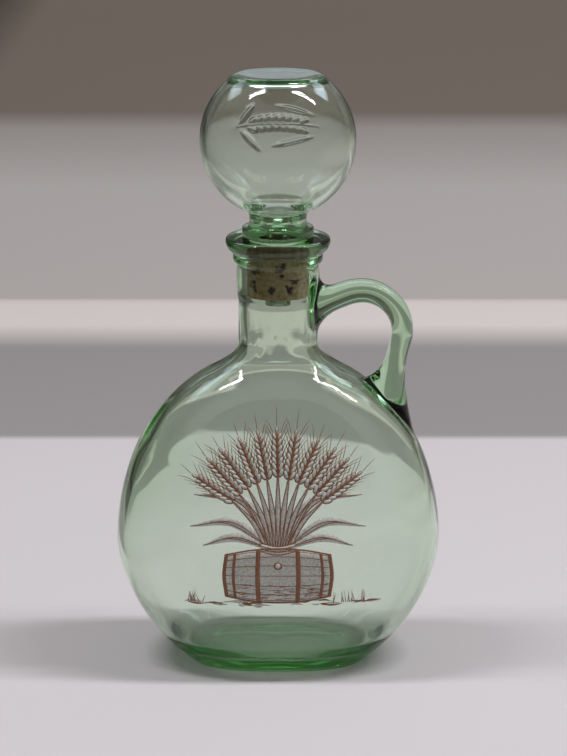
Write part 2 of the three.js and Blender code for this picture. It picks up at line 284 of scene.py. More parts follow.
# Pits of the cork in clusters: angle in degrees, height in mm, number, and spread in mm
PIT_CLUSTERS = (
    (-128, 181.5, 10, 3.0),
    (-85, 181.0, 7, 2.4),
    (-61, 175.5, 4, 1.2),
    (-139, 174.0, 6, 2.0),
    (-104, 172.5, 3, 1.2),
    (-71, 173.0, 4, 1.6),
    (-20, 178.0, 8, 3.0),
    (35, 183.0, 6, 2.4),
    (80, 174.0, 9, 3.0),
    (120, 182.0, 5, 2.0),
    (170, 177.0, 8, 3.0),
)
PIT_DEPTH = 0.5 * MM
PIT_EDGE = 1.7  # share of its half length and half width at which a pit ends
PIT_REACH = 2.5  # mm along and up from its middle, past which a pit is cut off

# Relief on the back of the ball: an ear of barley between two leaves, as ovals. Each has its
# middle along and up the ball in mm, half length, half width and turn in degrees
RELIEF_HEIGHT = 0.6 * MM
RELIEF_EDGE = 1.5  # share of its half length and half width at which an oval ends
SKIN = 0.4 * MM  # vertices of the ball's outside are no deeper than this
RELIEF_REACH = (21, 12)  # half of the field that it takes
RELIEF_OVALS = (
    [(-12 + 3.4 * i, 3.1 - 0.08 * i * i + 0.5 * i, 2.3, 1.25, 28) for i in range(8)]
    + [(-12 + 3.4 * i, -1.3 - 0.08 * i * i + 0.5 * i, 2.3, 1.25, -28) for i in range(8)]
    + [(-2, 0.9, 17, 0.5, 0), (-15.5, 6.8, 5, 1.4, 52), (-13.5, -6.6, 5.6, 1.5, -48)]
    + [(7, -7.2, 8, 1.2, 12), (8, 8.2, 7, 1.1, -10)]
)


def length(name, description, default):
    return bpy.props.FloatProperty(
        name=name, description=description, default=default, unit="LENGTH", subtype="DISTANCE"
    )


def colour(name, description, default):
    return bpy.props.StringProperty(name=name, description=description, default=default)


class FlaskSizes(bpy.types.PropertyGroup):
    """Sizes of the flask"""

    half_width: length("Half width", "Half of the body's width", BOTTLE_HIGH.x)
    half_depth: length("Half depth", "Half of the body's depth", BOTTLE_HIGH.y)
    widest_height: length("Widest height", "Height of the widest section", 57.7 * MM)
    shoulder_rise: length("Shoulder rise", "From there to the top of its curve", 83.5 * MM)
    heel_drop: length("Heel drop", "From there to the foot of its curve", 72.2 * MM)
    wall: length("Wall", "Thickness of the body's wall", 3 * MM)
    neck_radius: length("Neck radius", "Outside of the lower neck", 17.4 * MM)
    lip_radius: length("Lip radius", "Widest part of the lip", 22.9 * MM)
    lip_height: length("Lip height", "Height of the lip's flat top", BOTTLE_HIGH.z)


class StopperSizes(bpy.types.PropertyGroup):
    """Sizes of the ball stopper and its cork"""

    height: length("Height", "Top of the ball", STOPPER_HIGH.z)
    ball_radius: length("Ball radius", "Outside of the ball", STOPPER_HIGH.x)
    ball_centre: length("Ball centre", "Height of the ball's centre", 235.6 * MM)
    stem_bottom: length("Stem bottom", "Foot of the hollow stem", STOPPER_LOW.z)
    cork_radius: length("Cork radius", "Outside of the cork at its top", CORK_HIGH.x)
    cork_top: length("Cork top", "Height of the cork's top", CORK_HIGH.z)
    cork_bottom: length("Cork bottom", "Height of the cork's foot", CORK_LOW.z)


class FinishColours(bpy.types.PropertyGroup):
    """Colours, as sRGB hex values"""

    glass: colour("Glass", "What a thick piece of the glass lets through", "#A4E09C")
    cork: colour("Cork", "Pale grain of the cork", "#E8C49B")
    cork_shade: colour("Cork shade", "Dark grain of the cork", "#B28C66")
    cork_pit: colour("Cork pit", "Pits in the cork", "#34190C")
    # Darker tone at the top of the cork, under the stopper's flange
    cork_top_tone: colour("Cork top tone", "Darker tone at the top of the cork, under the stopper's flange", "#8E8474")
    grey_enamel: colour("Grey enamel", "Areas of the print", "#CED0C8")
    brown_enamel: colour("Brown enamel", "Lines of the print", "#8E5E40")
    floor: colour("Floor", "Floor near the flask", "#D5D0D6")
    far_floor: colour("Far floor", "Floor away from the flask", "#9B979A")
    pale_strip: colour("Pale strip", "Pale band of the floor, further away", "#E2DADB")
    wall: colour("Wall", "The floor beyond that, where a wall would be", "#BBB5B6")
    wall_middle: colour("Wall middle", "That wall at half its height", "#CAC6C7")
    wall_top: colour("Wall top", "The floor where that wall turns darker", "#91867F")
    wall_end: colour("Wall end", "The far end of the floor", "#B0A59C")


def linear(hex_colour):
    """The linear colour of an sRGB hex value, and 1 for its alpha"""
    parts = (int(hex_colour[i : i + 2], 16) / 255 for i in (1, 3, 5))
    return (*(p / 12.92 if p <= 0.04045 else ((p + 0.055) / 1.055) ** 2.4 for p in parts), 1)


def smooth(share):
    """0 to 1 with level ends"""
    share = min(max(share, 0.0), 1.0)
    return share * share * (3 - 2 * share)


def bend(start, corner, end, steps=CURVE_STEPS):
    """Points of a curve from start to end that is drawn towards corner, without the last"""
    return [
        start.lerp(corner, i / steps).lerp(corner.lerp(end, i / steps), i / steps)
        for i in range(steps)
    ]


def straight(start, end, steps):
    """Points from start to end in even steps, without the last"""
    return [start.lerp(end, i / steps) for i in range(steps)]


def through(points, count):
    """count + 1 points of a smooth curve through points, from the second to the last but one"""
    spans = len(points) - 3
    made = []
    for i in range(count + 1):
        place = min(i / count * spans, spans - 1e-9)
        a, b, c, d = points[int(place) : int(place) + 4]
        t = place - int(place)
        made.append(
            0.5 * (2 * b + (c - a) * t + (2 * a - 5 * b + 4 * c - d) * t * t
                   + (3 * b - a - 3 * c + d) * t**3)
        )
    return made


def super_cosine(angle, power):
    """The cosine's part in a superellipse of this power"""
    c = math.cos(angle)
    return math.copysign(abs(c) ** (2 / power), c)


def across(share, power):
    """Half width of a superellipse, as a share, at a share of its half height"""
    return (1 - share**power) ** (1 / power)


def section(half_width, half_depth, power, z):
    """A level section: a superellipse at height z"""
    return Vector((half_width, half_depth, power, z))


def oval_section(half_width, half_depth, z):
    return section(half_width, half_depth, SECTION_POWER, z)


def round_section(radius, z):
    return section(radius, radius, 2, z)


def body_section(flask, z, inset=0.0):
    """A level section of the body, moved inwards by inset"""
    upper = z > flask.widest_height
    reach = flask.shoulder_rise if upper else flask.heel_drop
    share = min(abs(z - flask.widest_height) / (reach - inset), 1)
    power = SHOULDER_POWER if upper else HEEL_POWER
    face_power = SHOULDER_FACE_POWER if upper else HEEL_FACE_POWER
    return oval_section(
        (flask.half_width - inset) * across(share, power),
        (flask.half_depth - inset) * across(share, face_power),
        z,
    )


def blend_section(bottom, inset, radius, flask, z):
    """A level section of the concave turn from the shoulder into the round neck"""
    step = 0.1 * MM
    start = body_section(flask, bottom, inset)
    slope = (start - body_section(flask, bottom - step, inset)) / step
    rise = BLEND_TOP - bottom
    share = (z - bottom) / rise
    made = start.lerp(round_section(radius, z), smooth(share))
    made += slope * rise * share * (1 - share) ** 2
    made[3] = z
    return made


def outside_section(flask, z):
    """The level section of the outside at height z, from the heel up to the bead"""
    if z <= BLEND_BOTTOM:
        return body_section(flask, z)
    if z < BLEND_TOP:
        return blend_section(BLEND_BOTTOM, 0, flask.neck_radius, flask, z)
    rise = smooth((z - COLLAR_FOOT) / (COLLAR_TOP - COLLAR_FOOT))
    return round_section(flask.neck_radius + COLLAR_STEP * rise, z)


def even(low, high, steps):
    """Heights from low to high in even steps, without the last"""
    return [low + (high - low) * i / steps for i in range(steps)]


def body_heights(flask, low, high):
    """Heights from low to high in even steps along the body's curve, without the last"""
    reach = flask.shoulder_rise if high > flask.widest_height else flask.heel_drop
    first, last = (math.asin((z - flask.widest_height) / reach) for z in (low, high))
    steps = math.ceil(math.degrees(last - first) / BODY_STEP)
    return [flask.widest_height + reach * math.sin(a) for a in even(first, last, steps)]


def base_sections():
    """The hollow under the base and the flat ring that the flask stands on"""
    inner = oval_section(BEARING_HALF_WIDTH - BEARING_RING, BEARING_HALF_DEPTH - BEARING_RING, 0)
    outer = oval_section(BEARING_HALF_WIDTH, BEARING_HALF_DEPTH, 0)
    made = []
    for share in even(0, PUNT_EDGE, PUNT_STEPS) + [PUNT_EDGE]:
        z = PUNT_RISE * (1 - share**2)
        made.append(oval_section(inner[0] * share, inner[1] * share, z))
    edge = made.pop()
    ring_start, ring_end = (inner.lerp(outer, share) for share in (RING_TURN, 1 - RING_TURN))
    return made + bend(edge, inner, ring_start) + [ring_end]


def lip_sections(flask):
    """Bead and lip from the collar up to the edge of the flat top"""
    top = flask.lip_height
    bead = top - BEAD_DROP
    collar = flask.neck_radius + COLLAR_STEP
    foot = round_section(collar, bead - BEAD_HALF_HEIGHT)
    side = round_section(BEAD_RADIUS, bead)
    cone_foot = round_section(CONE_FOOT_RADIUS, top - CONE_FOOT_DROP)
    cone_top = round_section(flask.lip_radius - CONE_TOP_INSET, top - CONE_TOP_DROP)
    nose = round_section(flask.lip_radius, top - NOSE_DROP)
    under_nose = round_section(flask.lip_radius, (nose[3] + cone_top[3]) / 2)
    over_nose = round_section(flask.lip_radius, top)
    edge = round_section(flask.lip_radius - LIP_ROUND, top)
    return (
        bend(foot, round_section(BEAD_RADIUS, foot[3]), side)
        + bend(side, round_section(BEAD_RADIUS, bead + BEAD_HALF_HEIGHT), cone_foot)
        + [cone_foot, cone_foot.lerp(cone_top, 0.5)]
        + bend(cone_top, under_nose, nose)
        + bend(nose, over_nose, edge)
        + [edge]
    )


def mouth_sections(flask):
    """Flat top of the lip, the bore round the cork and the wider bore under it"""
    top = flask.lip_height
    bore_foot = round_section(BORE_RADIUS - BORE_TAPER, BORE_FOOT)
    lower_top = round_section(LOWER_BORE_RADIUS, BORE_FOOT - BORE_STEP)
    neck_foot = round_section(LOWER_BORE_RADIUS, BLEND_TOP)
    bore_top = round_section(BORE_RADIUS, top - MOUTH_ROUND)
    edge = round_section(BORE_RADIUS + MOUTH_ROUND, top)
    return (
        [round_section((flask.lip_radius + BORE_RADIUS) / 2, top)]
        + bend(edge, round_section(BORE_RADIUS, top), bore_top)
        + straight(bore_top, bore_foot, 12)
        + bend(bore_foot.lerp(bore_top, 0.05), bore_foot, bore_foot.lerp(lower_top, 0.3))
        + bend(bore_foot.lerp(lower_top, 0.7), lower_top, lower_top.lerp(neck_foot, 0.1))
        + straight(lower_top, neck_foot, 10)[1:]
    )


def inside_sections(flask):
    """The inner wall from under the neck down to the middle of the floor"""
    bottom = BLEND_BOTTOM - flask.wall
    blend = [
        blend_section(bottom, flask.wall, LOWER_BORE_RADIUS, flask, z)
        for z in even(BLEND_TOP, bottom, BLEND_STEPS)
    ]
    heights = body_heights(flask, CORNER_TOP, flask.widest_height)
    heights += body_heights(flask, flask.widest_height, bottom) + [bottom]
    walls = [body_section(flask, z, flask.wall) for z in reversed(heights)]
    stations = [
        oval_section(FLOOR_HALF_WIDTH * share, FLOOR_HALF_DEPTH * share, FLOOR_HEIGHT + height)
        for share, height in FLOOR_STATIONS
    ]
    path = [walls[-2], walls[-1], *stations]
    path.append(section(-stations[-2][0], -stations[-2][1], SECTION_POWER, stations[-2][3]))
    floor = through(path, FLOOR_STEPS * (len(path) - 3))
    return blend + walls[:-1] + floor


def outside_heights(flask):
    """Heights of the outside's levels, which fall on the ends of both roots of the handle"""
    neck_low, neck_high, _, neck_half = NECK_ROOT
    body_low, body_high, _, body_half = BODY_ROOT
    body_levels = NECK_ROOT_LEVELS + 2 * (neck_half - body_half)
    bead_foot = flask.lip_height - BEAD_DROP - BEAD_HALF_HEIGHT
    return (
        body_heights(flask, HEEL_HEIGHT, flask.widest_height)
        + body_heights(flask, flask.widest_height, body_low)
        + even(body_low, body_high, body_levels)
        + even(body_high, BLEND_BOTTOM, 4)
        + even(BLEND_BOTTOM, BLEND_TOP, BLEND_STEPS)
        + even(BLEND_TOP, neck_low, 1)
        + even(neck_low, neck_high, NECK_ROOT_LEVELS)
        + even(neck_high, bead_foot, 3)
    )


def spin_profile(points, segments):
    """A closed skin turned round the Z axis from (radius, height) points. Each vertex keeps
    the number of its point in the layer "level" """
    bm = bmesh.new()
    level = bm.verts.layers.int.new("level")
    verts = [bm.verts.new((radius, 0, z)) for radius, z in points]
    for i, vert in enumerate(verts):
        vert[level] = i
    edges = [bm.edges.new(pair) for pair in zip(verts, verts[1:])]
    bmesh.ops.spin(
        bm, geom=verts + edges, cent=(0, 0, 0), axis=(0, 0, 1), dvec=(0, 0, 0),
        angle=2 * math.pi, steps=segments, use_merge=True, use_normal_flip=False,
        use_duplicate=False,
    )
    bmesh.ops.remove_doubles(bm, verts=bm.verts, dist=1e-7)
    bmesh.ops.recalc_face_normals(bm, faces=bm.faces)
    return bm


def surface_point(flask, y, z):
    """The point of the outside on the handle's side at y and z"""
    half_width, half_depth, power, _ = outside_section(flask, z)
    share = min(abs(y) / half_depth, 1)
    return Vector((half_width * across(share, power), y, z))


def is_inside(flask, point):
    half_width, half_depth, power, _ = outside_section(flask, point.z)
    return abs(point.x / half_width) ** power + abs(point.y / half_depth) ** power < 1


def surface_hit(flask, start, direction, reach):
    """Where a line from outside the glass meets it"""
    near, far = 0.0, reach
    for _ in range(HALVINGS):
        middle = (near + far) / 2
        if is_inside(flask, start + direction * middle):
            far = middle
        else:
            near = middle
    return start + direction * near


def open_root(bm, flask, place, root, outer_side):
    """Opens the glass in an oval where one end of the handle joins it.
    place gives a vertex's level height and segment, and the rim comes back in order round it,
    with the angle of each vertex from the handle's outer side."""
    low, high, half_width, half_segments = root
    middle, half_height = (low + high) / 2, (high - low) / 2
    inside, rim = set(), []
    for vert in bm.verts:
        if vert not in place:
            continue
        z, segment = place[vert]
        p, q = segment / half_segments, (z - middle) / half_height
        measure = max(abs(p), abs(q))
        if measure > ROOT_REACH:
            continue
        if measure < 1 + 1e-4:
            inside.add(vert)
        if measure > 1 - 1e-4:
            away = Vector((p, q)).normalized() * measure
            pull = 1 - smooth((measure - 1) / (ROOT_REACH - 1))
            y = vert.co.y + (away.x * half_width - vert.co.y) * pull
            z += (middle + away.y * half_height - z) * pull
            vert.co = surface_point(flask, y, z)
            if measure < 1 + 1e-4:
                rim.append((math.atan2(away.x, away.y * outer_side), vert))
    faces = [f for f in bm.faces if all(v in inside for v in f.verts)]
    bmesh.ops.delete(bm, geom=faces, context="FACES")
    # The vertex on the inner side is at half a turn, whichever way that was rounded
    rim = [(math.pi if abs(angle) > math.pi - 1e-3 else angle, vert) for angle, vert in rim]
    return sorted(rim, key=lambda item: item[0])


def bar_section(middle, tangent, thickness, angle):
    """A point of the handle's rounded square section"""
    outwards = Vector((-tangent.z, 0, tangent.x))
    return (
        middle
        + outwards * thickness / 2 * super_cosine(angle, HANDLE_POWER)
        + Vector((0, HANDLE_HALF_DEPTH * super_cosine(angle - math.pi / 2, HANDLE_POWER), 0))
    )


def add_handle(bm, flask, place):
    """Draws the handle out of the neck ring by ring and welds it to the body"""
    neck_rim = open_root(bm, flask, place, NECK_ROOT, 1)
    body_rim = open_root(bm, flask, place, BODY_ROOT, -1)
    around = bm.verts.layers.int["around"]
    for i, (_, vert) in enumerate(neck_rim):
        vert[around] = i + 1
    starts, ends = (
        [(angle, vert.co.copy()) for angle, vert in rim] for rim in (neck_rim, body_rim)
    )

    points = [Vector([size * MM for size in station]) for station in HANDLE_STATIONS]
    stations = through(points, HANDLE_RINGS)
    middles = [Vector((x, 0, z)) for x, z, _ in stations]
    tangents = [
        (middles[min(i + 1, HANDLE_RINGS)] - middles[max(i - 1, 0)]).normalized()
        for i in range(HANDLE_RINGS + 1)
    ]

    def free_ring(i):
        share = i / HANDLE_RINGS
        return [
            bar_section(middles[i], tangents[i], stations[i][2], a + (b - a) * share)
            for (a, _), (b, _) in zip(starts, ends)
        ]

    def fillet_rings(ring, rim, direction, count, pulls):
        """Rings from the free bar to a rim on the glass, given with the angle of each vertex"""
        corners = [surface_hit(flask, point, direction, HANDLE_REACH) for point in ring]
        end_pull, side_pull = pulls
        made = []
        for step in range(1, count + 1):
            t = step / count
            row = []
            for point, corner, (angle, foot) in zip(ring, corners, rim):
                pull = end_pull + (side_pull - end_pull) * math.sin(angle) ** 2
                near, far = point.lerp(corner, pull), foot.lerp(corner, pull)
                row.append(
                    point * (1 - t) ** 3 + near * 3 * t * (1 - t) ** 2
                    + far * 3 * t * t * (1 - t) + foot * t**3
                )
            made.append(row)
        return made

    first, last = free_ring(0), free_ring(HANDLE_RINGS)
    from_neck = fillet_rings(first, starts, -tangents[0], FILLET_RINGS[0], FILLET_PULLS[0])
    to_body = fillet_rings(last, ends, tangents[-1], FILLET_RINGS[1], FILLET_PULLS[1])
    rings = [*reversed(from_neck[:-1])]
    rings += [free_ring(i) for i in range(HANDLE_RINGS + 1)] + to_body

    edges = rim_edges(bm, (vert for _, vert in neck_rim))
    for ring in rings:
        made = bmesh.ops.extrude_edge_only(bm, edges=edges)["geom"]
        for vert in (g for g in made if isinstance(g, bmesh.types.BMVert)):
            vert.co = ring[vert[around] - 1]
        edges = [g for g in made if isinstance(g, bmesh.types.BMEdge)]
    seam = {v for e in edges for v in e.verts} | {vert for _, vert in body_rim}
    bmesh.ops.remove_doubles(bm, verts=[v for v in bm.verts if v in seam], dist=0.01 * MM)


def rim_edges(bm, verts):
    """Edges of the open rim through these vertices"""
    verts = set(verts)
    return [e for e in bm.edges if e.is_boundary and all(v in verts for v in e.verts)]


def unevenness(point, angle, z):
    """How far the inside of moulded glass strays from its curve, inwards"""
    wave = sum(height * noise.noise(point * count) for height, count in WAVES)
    wave *= 1 - CALM_SHARE * smooth((z - CALM_FOOT) / CALM_RISE)
    low, high = LEAN_LIMITS
    lean = min(max(LEAN_SLOPE * (z - LEAN_LEVEL), low), high)
    side = smooth((-point.x - LEAN_START) / LEAN_TURN) * smooth((LEAN_TOP - z) / LEAN_FADE)
    streak = STREAK_HEIGHT * math.sin(STREAKS * angle + 2 * math.sin(3 * angle))
    window = smooth((z - STREAK_FOOT) / STREAK_RISE) * smooth((STREAK_TOP - z) / STREAK_FADE)
    return wave + lean * side + streak * window


def flask_mesh(flask):
    """The flask with its handle in one piece of glass"""
    base, heights = base_sections(), outside_heights(flask)
    outside = [outside_section(flask, z) for z in heights]
    lip, mouth, inside = lip_sections(flask), mouth_sections(flask), inside_sections(flask)
    sections = base + outside + lip + mouth + inside
    bm = spin_profile([(s[0], s[3]) for s in sections], BODY_SEGMENTS)
    bm.verts.layers.int.new("around")  # adding a layer drops every vertex held so far
    level = bm.verts.layers.int["level"]
    outer = range(len(base), len(base) + len(outside) + 1)
    inner_start = len(base) + len(outside) + len(lip) + 2
    place = {}
    for vert in bm.verts:
        half_width, half_depth, power, z = sections[vert[level]]
        angle = math.atan2(vert.co.y, vert.co.x)
        if vert[level] in outer and abs(angle) < math.pi / 2:
            place[vert] = (z, round(angle / (2 * math.pi) * BODY_SEGMENTS))
        if vert[level] > inner_start:
            stray = unevenness(vert.co, angle, z) * smooth(half_width / (8 * MM))
            half_width, half_depth = half_width - stray, half_depth - stray
        vert.co.x = half_width * super_cosine(angle, power)
        vert.co.y = half_depth * super_cosine(angle - math.pi / 2, power)
    add_handle(bm, flask, place)
    bmesh.ops.recalc_face_normals(bm, faces=bm.faces)
    return bm


def finish_piece(name, bm, material, body):
    """Makes a shaded object of a mesh and gives it its body"""
    mesh = bpy.data.meshes.new(name)
    bm.to_mesh(mesh)
    bm.free()
    mesh.shade_smooth()
    mesh.materials.append(material)
    piece = bpy.data.objects.new(name, mesh)
    bpy.context.scene.collection.objects.link(piece)
    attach(piece, body)
    return piece


def ribbon(bm, points, widths, layer, columns=1, steps=12):
    """A flat strip along a smooth line, with the layer that it lies in as its y"""
    line, breadths = (
        through([2 * row[0] - row[1], *row, 2 * row[-1] - row[-2]], steps)
        for row in ([Vector(p) for p in points], widths)
    )
    grid = bmesh.ops.create_grid(bm, x_segments=columns, y_segments=steps, size=1)
    for vert in grid["verts"]:
        i, side = round((vert.co.y + 1) / 2 * steps), vert.co.x
        ahead = line[min(i + 1, steps)] - line[max(i - 1, 0)]
        place = line[i] + Vector((-ahead.y, ahead.x)).normalized() * side * breadths[i] / 2
        vert.co = (place.x, layer, place.y)


def oval(bm, place, half_length, half_width, angle, layer):
    """A flat oval whose length is at angle from upright, turned towards +X"""
    matrix = Matrix.Translation((place.x, layer, place.y)) @ Matrix.Rotation(angle, 4, "Y")
    matrix @= Matrix.Diagonal((half_width, 1, half_length, 1))
    matrix @= Matrix.Rotation(math.pi / 2, 4, "X")
    bmesh.ops.create_circle(bm, cap_ends=True, segments=12, radius=1, matrix=matrix)


def leaning(angle):
    """The direction at an angle from upright, turned towards +X"""
    return Vector((math.sin(angle), math.cos(angle)))


def draw_ear(grey, brown, lean, chance):
    """A stalk with its ear: grey kernels in brown outlines, and awns over them"""
    start = WAIST + Vector((lean * 5, 0))
    foot = WAIST + leaning(lean * 0.85) * EAR_FOOT * (1 - 0.12 * abs(lean))
    middle = start.lerp(foot, 0.5) + Vector((-lean * 1.8, 1.0))
    ribbon(grey, [start, middle, foot], [1.7, 2.3, 1.2], 0)
    for side in (-1, 1):
        shift = Vector((side * 0.9, 0))
        ribbon(brown, [start + shift, middle + shift * 1.2, foot], [0.3, 0.45, 0.3], 1)
    direction = leaning(lean * 1.15 + chance.uniform(-0.05, 0.05))
    ribbon(brown, [foot, foot + direction * EAR_LENGTH], [1.6, 1.0], 1, steps=6)
    for pair in range(KERNEL_PAIRS + 1):
        place = foot + direction * EAR_LENGTH * pair / KERNEL_PAIRS
        last = pair == KERNEL_PAIRS
        size = 1 - 0.35 * (pair / KERNEL_PAIRS) ** 2
        for side in (0,) if last else (-1, 1):
            turn = math.atan2(direction.x, direction.y) + side * 0.42
            seat = place + Vector((direction.y, -direction.x)) * side * 1.45 * size
            oval(brown, seat, 2.35 * size, 1.2 * size, turn, 1)
            oval(grey, seat + leaning(turn) * 0.1, 1.75 * size, 0.72 * size, turn, 2)
            reach = leaning(turn * 0.9) * chance.uniform(7.0, 10.0)
            tip = seat + reach + Vector((reach.y, -reach.x)) * side * 0.06
            awn = [seat + leaning(turn) * 2, seat + reach * 0.55, tip]
            ribbon(brown, awn, [0.3, 0.26, 0.12], 1, steps=6)


def draw_leaf(grey, brown, side, lean, reach, droop):
    """A long leaf that bows outwards from the waist, with its brown rib and edge"""
    start = WAIST + Vector((side * 3, 0))
    middle = start + leaning(side * lean) * reach * 0.6
    tip = middle + leaning(side * (lean + droop)) * reach * 0.55
    rib = [start, middle, tip]
    ribbon(grey, rib, [1.6, 4.2, 0.4], 0, columns=2, steps=16)
    ribbon(brown, rib, [0.3, 0.45, 0.25], 1, steps=16)
    edge = Vector((side * 1.9, -0.6))
    ribbon(brown, [start, middle + edge, tip], [0.3, 0.4, 0.25], 1, steps=16)


def draw_sheaf(grey, brown, chance):
    """Leaves on both sides, a fan of ears, and the band round its waist"""
    for side in (-1, 1):
        for lean, reach, droop in ((0.95, 34, 0.75), (1.25, 27, 0.6), (0.5, 40, 0.95)):
            draw_leaf(grey, brown, side, lean, reach, droop)
    # Outer ears first, so that the fan closes on its middle
    order = sorted(range(EARS), key=lambda i: -abs(i - (EARS - 1) / 2))
    for i in order:
        draw_ear(grey, brown, (2 * i / (EARS - 1) - 1) * EAR_SPREAD, chance)
    band = [WAIST + Vector((x, z)) for x, z in ((-7.5, 0.6), (0, -0.9), (7.5, 0.6))]
    ribbon(grey, band, [3.6, 4.4, 3.6], 2, columns=2)
    for height in (-1.9, -0.6, 0.7, 2.0):
        ribbon(brown, [p + Vector((0, height)) for p in band], [0.4, 0.5, 0.4], 3)


def draw_cask(grey, brown, chance):
    """A cask on its side with hoops, staves, a bung and hatching under its belly"""
    ends = [CASK + Vector((x, 0)) for x in (-CASK_HALF_LENGTH, -12, 0, 12, CASK_HALF_LENGTH)]
    ribbon(grey, ends, [2 * h for h in CASK_HALF_HEIGHTS], 2, columns=8, steps=24)
    for stave in range(STAVES):
        share = 2 * stave / (STAVES - 1) - 1
        width = 0.75 if abs(share) == 1 else 0.3
        line = [
            end + Vector((0, half * math.sin(share * math.pi / 2)))
            for end, half in zip(ends, CASK_HALF_HEIGHTS)
        ]
        ribbon(brown, line, [width] * 5, 3, steps=24)
    for x, width in HOOPS:
        half = 12.7 - 3.1 * (x / CASK_HALF_LENGTH) ** 2
        bow = x * 0.05
        hoop = [CASK + Vector(place) for place in ((x, half), (x + bow, 0), (x, -half))]
        ribbon(brown, hoop, [width] * 3, 3, steps=16)
    bung = CASK + Vector((0, 4.6))
    oval(brown, bung, 1.9, 1.9, 0, 3)
    oval(grey, bung, 1.1, 1.1, 0, 4)
    for _ in range(HATCHES):
        x, depth = chance.uniform(-21, 21), chance.uniform(0.35, 0.9)
        start = CASK + Vector((x, -depth * (12.4 - 3 * (x / CASK_HALF_LENGTH) ** 2)))
        reach = Vector((chance.uniform(1.5, 4.0), chance.uniform(-0.2, 0.2)))
        ribbon(brown, [start, start + reach], [0.35, 0.15], 3, steps=2)


def draw_ground(grey, brown, chance):
    """Rough strokes of ground and stubble on both sides of the cask"""
    for _ in range(GROUND_STROKES):
        x = chance.uniform(-42, 42)
        z = 37.4 + chance.uniform(-1.6, 1.8) * (1 - abs(x) / 60)
        reach = chance.uniform(3, 9)
        line = [(x, z), (x + reach / 2, z + chance.uniform(-0.5, 0.7)), (x + reach, z)]
        piece, layer = chance.choice(((grey, 0), (brown, 1), (grey, 0)))
        ribbon(piece, line, [0.2, chance.uniform(0.6, 1.3), 0.15], layer, steps=6)
    for _ in range(STUBBLE_STROKES):
        x = chance.choice((-1, 1)) * chance.uniform(24, 40)
        tip = Vector((x + chance.uniform(-1.5, 1.5), 38 + chance.uniform(2.5, 6)))
        ribbon(brown, [Vector((x, 37.6)), tip], [0.45, 0.12], 1, steps=3)


def drape(bm, flask):
    """Lays flat artwork on the front face and gives it its thickness"""
    for vert in bm.verts:
        x, layer, z = vert.co.x * MM, vert.co.y, vert.co.z * MM
        half_width, half_depth, power, _ = body_section(flask, z)
        front = half_depth * across(abs(x) / half_width, power)
        vert.co = (x, -front - (PRINT_GAP + layer * PRINT_LAYER) * MM, z)
    bmesh.ops.solidify(bm, geom=bm.faces[:], thickness=PRINT_LAYER * PRINT_SHARE * MM)
    bmesh.ops.recalc_face_normals(bm, faces=bm.faces)


def oval_level(ovals, along, up, edge, reach=math.inf):
    """How deep a place lies in any of some ovals, from 0 to 1. Each has its middle, half length,
    half width and turn, ends at edge times its halves, and is cut off at reach"""
    level = 0.0
    for x, z, half_length, half_width, turn in ovals:
        ahead, over = along - x, up - z
        if abs(ahead) > reach or abs(over) > reach:
            continue
        c, s = math.cos(turn), math.sin(turn)
        p, q = ahead * c + over * s, over * c - ahead * s
        level = max(level, smooth(edge - math.hypot(p / half_length, q / half_width)))
    return level


def add_relief(bm, stopper):
    """Raises the ovals of the relief on the back of the ball"""
    ovals = [(*shape, math.radians(turn)) for *shape, turn in RELIEF_OVALS]

    def place(vert):
        """A vertex of the relief's field: from the ball's centre, and along and up in mm"""
        away = Vector((vert.co.x, vert.co.y, vert.co.z - stopper.ball_centre))
        if away.y <= 0 or away.length < stopper.ball_radius - SKIN:
            return None
        along, up = (stopper.ball_radius * math.atan2(v, away.y) / MM for v in (away.x, away.z))
        inside = abs(along) < RELIEF_REACH[0] and abs(up) < RELIEF_REACH[1]
        return (away, along, up) if inside else None

    edges = [e for e in bm.edges if all(place(v) for v in e.verts)]
    bmesh.ops.subdivide_edges(bm, edges=edges, cuts=3, use_grid_fill=True, smooth=0)
    for vert in bm.verts:
        found = place(vert)
        if found:
            away, along, up = found
            rise = RELIEF_HEIGHT * oval_level(ovals, along, up, RELIEF_EDGE)
            radius = stopper.ball_radius + rise
            vert.co = Vector((0, 0, stopper.ball_centre)) + away.normalized() * radius


